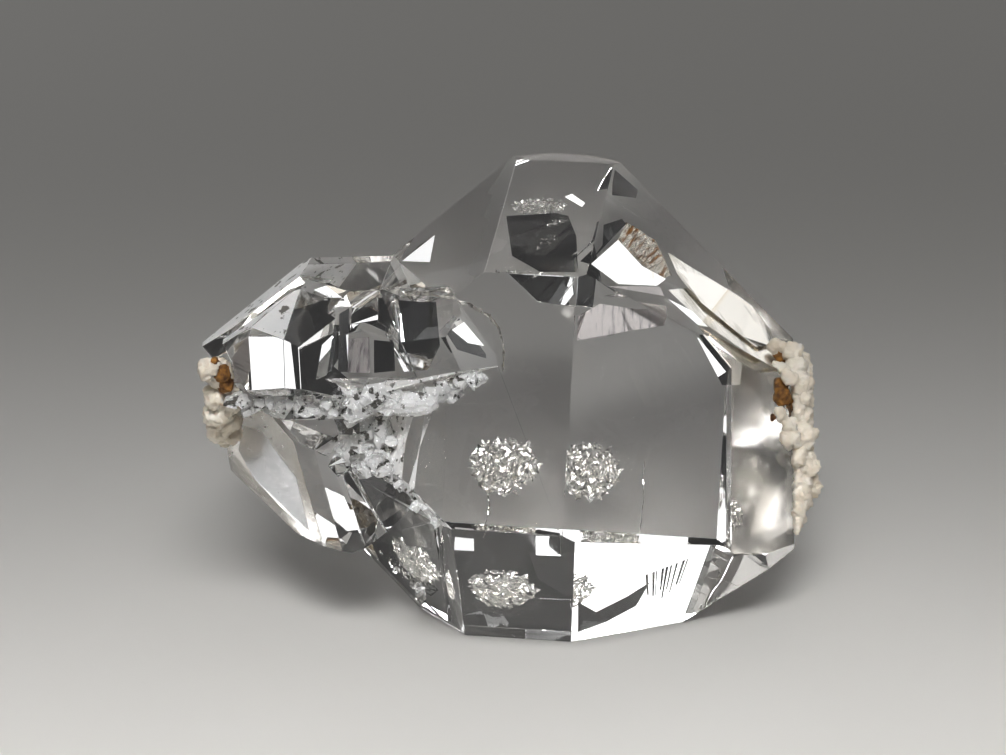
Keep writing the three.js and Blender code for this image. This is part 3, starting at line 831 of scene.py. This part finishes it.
class QUARTZ_OT_crust_rinds(bpy.types.Operator):
    """Makes both knobbly matrix rinds"""
    bl_idname = "quartz.crust_rinds"
    bl_label = "Matrix Rinds"

    def execute(self, context):
        look = context.scene.quartz_rinds
        material = matrix_crust()
        for name, node in RINDS.items():
            piece = copy_of_node(node, name)
            modify(piece, "REMESH", mode="VOXEL", voxel_size=RIND_CELL)
            modify(piece, "SMOOTH", factor=0.5, iterations=2)
            modify(piece, "DISPLACE", strength=RIND_SWELL, mid_level=0.0)
            lumpy(piece, 0.35, RIND_KNOBS)
            lumpy(piece, 0.12, look.grain / MM)
            shape(piece, bpy.ops.mesh.faces_shade_smooth)
            finish_piece(piece, [material], "matrix_rind", node)
        return {"FINISHED"}


# Clay

# In millimetres: the spacing of the clay's mesh and the height of its crumbs
CLAY_CELL = 0.05
CLAY_CRUMBS = 0.22
# Lumps of clay in the hollows of each rind: place and reach along each axis
CLAY = {
    "clay_right": [
        (at(11.02, -0.55, 10.2), (0.28, 0.3, 0.34)),
        (at(11.0, -1.55, 9.45), (0.34, 0.3, 0.36)),
        (at(11.05, -1.85, 9.1), (0.38, 0.3, 0.42)),
        (at(11.5, -1.5, 8.6), (0.3, 0.35, 0.4)),
        (at(11.55, -1.5, 8.2), (0.26, 0.35, 0.4)),
        (at(10.66, -2.8, 8.66), (0.12, 0.1, 0.16)),
        (at(11.66, -2.95, 7.0), (0.16, 0.12, 0.2)),
        (at(12.0, -2.6, 5.4), (0.2, 0.16, 0.14)),
    ],
    "clay_left": [
        (at(-11.1, -6.95, 13.15), (0.26, 0.3, 0.34)),
        (at(-10.8, -6.95, 12.8), (0.32, 0.34, 0.38)),
        (at(-10.7, -6.75, 12.25), (0.3, 0.34, 0.4)),
        (at(-10.65, -5.45, 9.8), (0.28, 0.25, 0.16)),
    ],
}


class QUARTZ_OT_pack_clay(bpy.types.Operator):
    """Packs brown clay into the hollows of the rinds"""
    bl_idname = "quartz.pack_clay"
    bl_label = "Clay"

    def execute(self, context):
        material = brown_clay()
        for name, lumps in CLAY.items():
            balls = []
            for place, reach in lumps:
                bpy.ops.mesh.primitive_ico_sphere_add(subdivisions=3, radius=1.0)
                ball = bpy.context.object
                ball.data.transform(Matrix.LocRotScale(place, None, reach))
                balls.append(ball)
            piece = joined(name, balls)
            modify(piece, "REMESH", mode="VOXEL", voxel_size=CLAY_CELL)
            lumpy(piece, 0.2, CLAY_CRUMBS)
            shape(piece, bpy.ops.mesh.faces_shade_smooth)
            finish_piece(piece, [material], "matrix_rind")
        return {"FINISHED"}


# Stage

# Each soft light: azimuth from straight behind towards the right and elevation in degrees, distance,
# width and height in millimetres, brightness, and for one of them the spread of its grid in degrees and
# the point that it aims at
SOFTBOXES = {
    "soft_light_front": {"azimuth": 180, "elevation": 64, "distance": 110, "size": (100, 30),
                         "brightness": 2.1, "spread": 38, "aim": (0, -22, 0)},
    "soft_light_fill": {"azimuth": -165, "elevation": 48, "distance": 400, "size": (250, 170),
                        "brightness": 1.2},
    "soft_light_overhead": {"azimuth": -89, "elevation": 84, "distance": 300, "size": (90, 90),
                            "brightness": 1.3},
    "soft_light_behind_left": {"azimuth": -25, "elevation": 17, "distance": 300, "size": (170, 100),
                               "brightness": 2.0},
    "soft_light_behind_high": {"azimuth": -22, "elevation": 34, "distance": 300, "size": (70, 50),
                               "brightness": 1.8},
    "soft_light_above_behind": {"azimuth": 33, "elevation": 49, "distance": 300, "size": (110, 90),
                                "brightness": 1.4},
    "soft_light_ribs": {"azimuth": 68, "elevation": 37, "distance": 300, "size": (60, 60),
                        "brightness": 1.4},
    "soft_light_right": {"azimuth": 88, "elevation": 18, "distance": 300, "size": (100, 130),
                         "brightness": 1.3},
    "soft_light_left": {"azimuth": -95, "elevation": 20, "distance": 300, "size": (60, 100),
                        "brightness": 1.3},
}
# Where a light points unless it has an aim of its own, in millimetres
STONE_MIDDLE = (0, 0, 8)
# A hair of air lies under the stone, so that its bottom mirrors as it does on a real board
FLOOR_GAP = 0.02
# The width of the floor in metres
FLOOR_SIZE = 3.0


def soft_light(name, power, azimuth, elevation, distance, size, brightness,
               spread=180, aim=STONE_MIDDLE):
    """Hangs one soft light that faces the stone."""
    azimuth, elevation = math.radians(azimuth), math.radians(elevation)
    way = Vector((math.sin(azimuth) * math.cos(elevation), math.cos(azimuth) * math.cos(elevation),
                  math.sin(elevation)))
    width, height = (side * MM for side in size)
    bpy.ops.object.light_add(type="AREA", location=(at(*aim) + way * distance) * MM)
    lamp = bpy.context.object
    lamp.name = lamp.data.name = name
    lamp.data.shape = "RECTANGLE"
    lamp.data.size, lamp.data.size_y = width, height
    lamp.data.spread = math.radians(spread)
    # A flat light gives off pi times its area and its brightness
    lamp.data.energy = math.pi * width * height * brightness * power
    lamp.rotation_mode = "QUATERNION"
    lamp.rotation_quaternion = (-way).to_track_quat("-Z", "Y")


class QUARTZ_OT_set_stage(bpy.types.Operator):
    """Lays the floor and sets the lights and the camera"""
    bl_idname = "quartz.set_stage"
    bl_label = "Stage"

    def execute(self, context):
        look = context.scene.quartz_stage
        bpy.ops.mesh.primitive_plane_add(size=FLOOR_SIZE, location=(0, 0, -FLOOR_GAP * MM))
        floor = bpy.context.object
        floor.name = floor.data.name = "floor_board"
        floor.data.materials.append(pale_floor())

        world = bpy.data.worlds.new("dim_studio")
        world.use_nodes = True
        background = world.node_tree.nodes["Background"]
        background.inputs["Color"].default_value = hex_colour("#ffffff")
        background.inputs["Strength"].default_value = look.ambient
        context.scene.world = world
        context.scene.view_settings.view_transform = "Standard"

        for name, lamp in SOFTBOXES.items():
            soft_light(name, look.power, **lamp)

        centre = at(0, 0, EYE_HEIGHT) * MM
        back = Vector((0, -math.cos(look.elevation), math.sin(look.elevation)))
        bpy.ops.object.camera_add(location=centre + back * look.distance)
        camera = bpy.context.object
        camera.name = camera.data.name = "camera"
        camera.rotation_mode = "QUATERNION"
        camera.rotation_quaternion = (-back).to_track_quat("-Z", "Y")
        camera.data.lens = look.lens
        camera.data.clip_start, camera.data.clip_end = 0.01, 10.0
        context.scene.camera = camera
        return {"FINISHED"}


# Sidebar


class QUARTZ_PT_sidebar(bpy.types.Panel):
    """Lists the pieces and their sizes and colours"""
    bl_idname = "QUARTZ_PT_sidebar"
    bl_label = "Herkimer Diamond Quartz"
    bl_space_type = "VIEW_3D"
    bl_region_type = "UI"
    bl_category = "Quartz"

    def draw(self, context):
        for operator, group in STEPS:
            box = self.layout.box()
            box.operator(operator.bl_idname)
            values = getattr(context.scene, group)
            for key in values.bl_rna.properties.keys():
                if key not in {"rna_type", "name"}:
                    box.prop(values, key)


# Registering and running

# Each operator in order, with the name of its settings on the scene
STEPS = [
    (QUARTZ_OT_grow_crystal, "quartz_crystal"),
    (QUARTZ_OT_scatter_flecks, "quartz_flecks"),
    (QUARTZ_OT_lay_veils, "quartz_veils"),
    (QUARTZ_OT_crust_rinds, "quartz_rinds"),
    (QUARTZ_OT_pack_clay, "quartz_clay"),
    (QUARTZ_OT_set_stage, "quartz_stage"),
]
SETTINGS = {
    "quartz_crystal": CrystalSettings,
    "quartz_flecks": FleckSettings,
    "quartz_veils": VeilSettings,
    "quartz_rinds": RindSettings,
    "quartz_clay": ClaySettings,
    "quartz_stage": StageSettings,
}


def register():
    """Adds the settings, the operators and the sidebar."""
    for name, group in SETTINGS.items():
        bpy.utils.register_class(group)
        setattr(bpy.types.Scene, name, PointerProperty(type=group))
    for operator, _ in STEPS:
        bpy.utils.register_class(operator)
    bpy.utils.register_class(QUARTZ_PT_sidebar)


def unregister():
    """Takes away what register added, in the opposite order."""
    bpy.utils.unregister_class(QUARTZ_PT_sidebar)
    for operator, _ in reversed(STEPS):
        bpy.utils.unregister_class(operator)
    for name, group in SETTINGS.items():
        delattr(bpy.types.Scene, name)
        bpy.utils.unregister_class(group)


def let_light_through():
    """Lets light cross and mirror in many faces of the stone before it is given up."""
    cycles = bpy.context.scene.cycles
    cycles.max_bounces = 24
    cycles.transmission_bounces = 24
    cycles.glossy_bounces = 16
    cycles.volume_bounces = 0
    cycles.sample_clamp_indirect = 0


def main():
    """Builds every piece in order."""
    register()
    let_light_through()
    bpy.ops.quartz.grow_crystal()
    bpy.ops.quartz.scatter_flecks()
    bpy.ops.quartz.lay_veils()
    bpy.ops.quartz.crust_rinds()
    bpy.ops.quartz.pack_clay()
    bpy.ops.quartz.set_stage()


if __name__ == "__main__":
    main()
